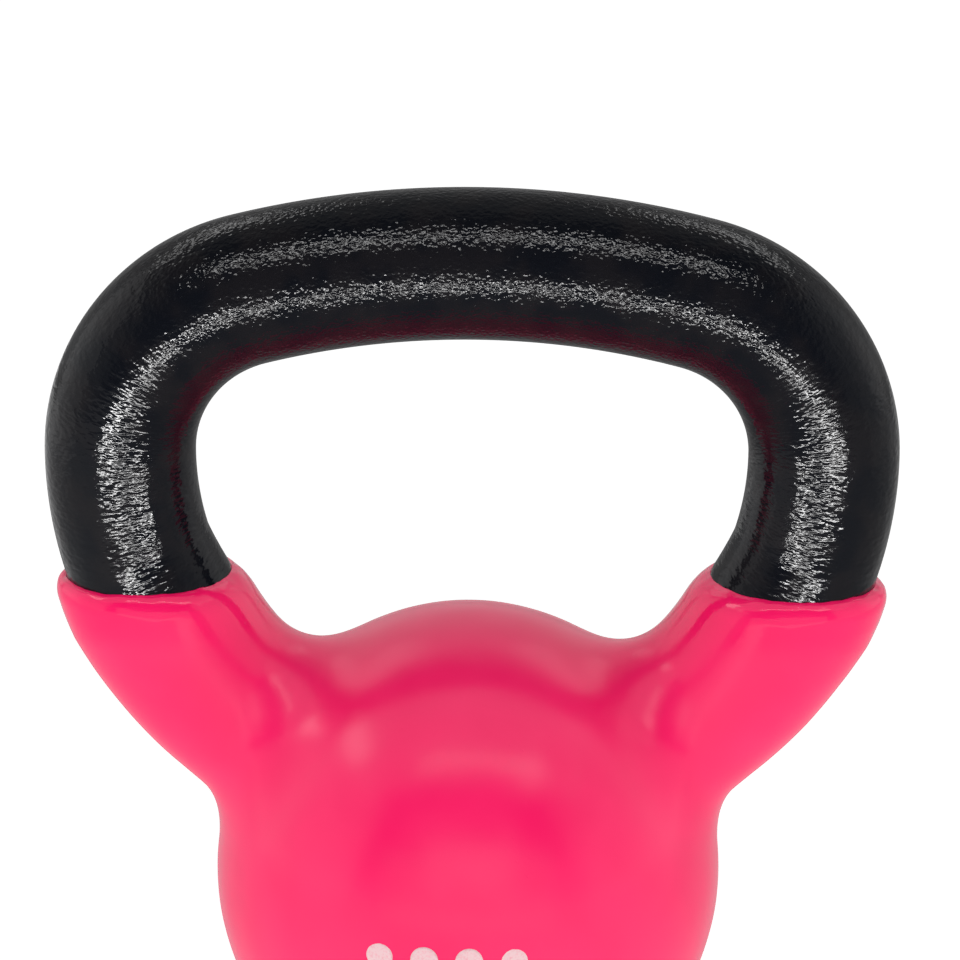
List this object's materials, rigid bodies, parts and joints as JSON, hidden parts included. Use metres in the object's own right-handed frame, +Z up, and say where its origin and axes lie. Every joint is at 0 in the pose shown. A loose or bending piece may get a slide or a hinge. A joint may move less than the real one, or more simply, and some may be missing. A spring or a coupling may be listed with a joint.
{
  "type": "kettlebell",
  "caption": "Cast iron kettlebell with a thick round loop handle, a vinyl dipped ball with a flat base, and a plain dotted weight mark.",
  "frame": {"origin": "centre of the flat base, on the surface that the kettlebell stands on", "axes": "+Z up through the ball and the handle, X along the handle bar, -Y towards the weight mark"},
  "size_m": [0.1938, 0.1168, 0.2104],
  "materials": {
    "black_enamel": "glossy black enamel over a ground casting",
    "pink_vinyl": "smooth dipped vinyl, half gloss",
    "pale_ink": "thin printed ink"
  },
  "bodies": {
    "root": {"iron_casting": "black_enamel", "vinyl_jacket": "pink_vinyl", "weight_dot_1": "pale_ink", "weight_dot_2": "pale_ink", "weight_dot_3": "pale_ink", "weight_dot_4": "pale_ink", "weight_dot_5": "pale_ink", "weight_dot_6": "pale_ink", "weight_dot_7": "pale_ink", "weight_dot_8": "pale_ink"}
  },
  "joints": []
}
